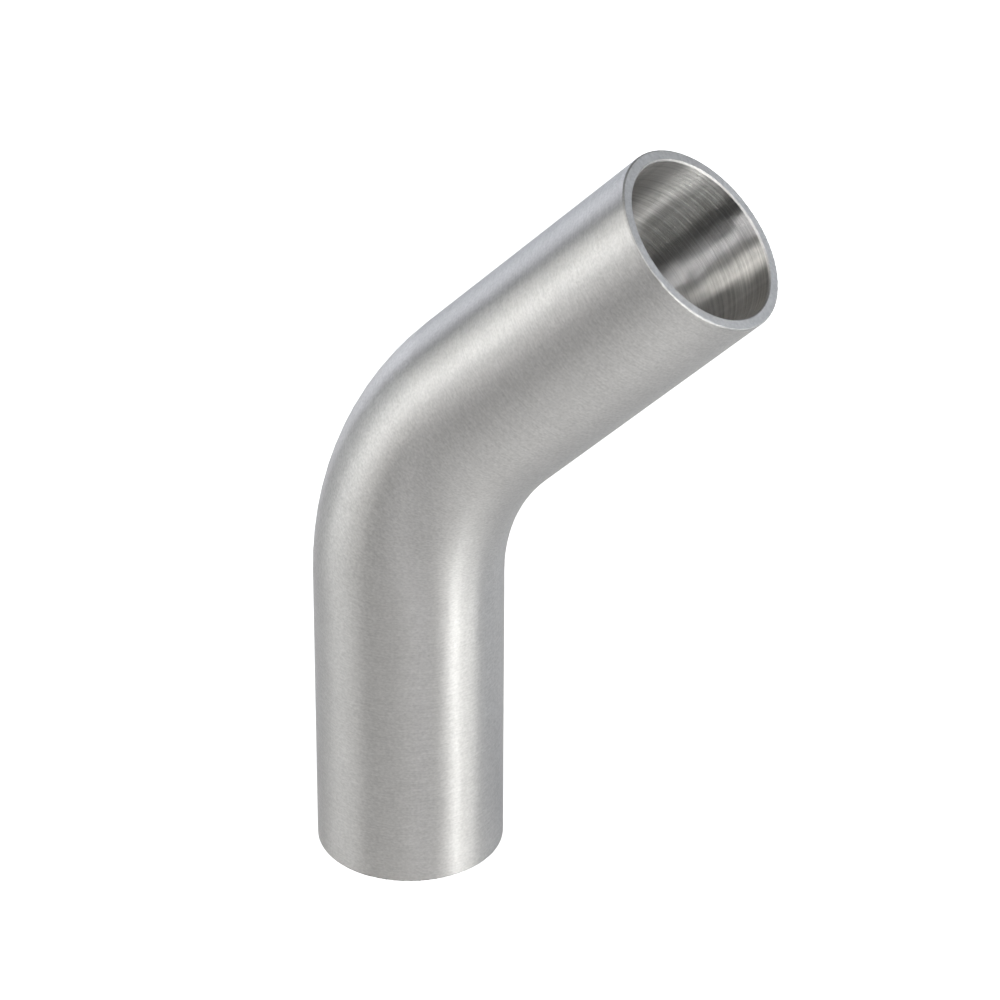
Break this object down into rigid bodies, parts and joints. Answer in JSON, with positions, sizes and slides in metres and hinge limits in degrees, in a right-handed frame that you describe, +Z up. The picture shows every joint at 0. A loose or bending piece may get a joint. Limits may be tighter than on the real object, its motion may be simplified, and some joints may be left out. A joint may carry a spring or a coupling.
{
  "type": "pipe bend",
  "caption": "Forty-five degree tube bend in satin stainless steel, with a plain straight tangent at each open end for joining to tube of the same size.",
  "frame": {"origin": "centre of the lower end face, on the tube's axis", "axes": "+Z up the lower tangent; the bend leans the upper tangent over towards +X; the centre line lies in the XZ plane, so Y is across it"},
  "size_m": [0.0624, 0.0254, 0.1075],
  "materials": {
    "stainless_steel": "satin, ground round the tube, with brighter turned end faces"
  },
  "bodies": {
    "root": {"pipe_bend": "stainless_steel"}
  },
  "joints": []
}
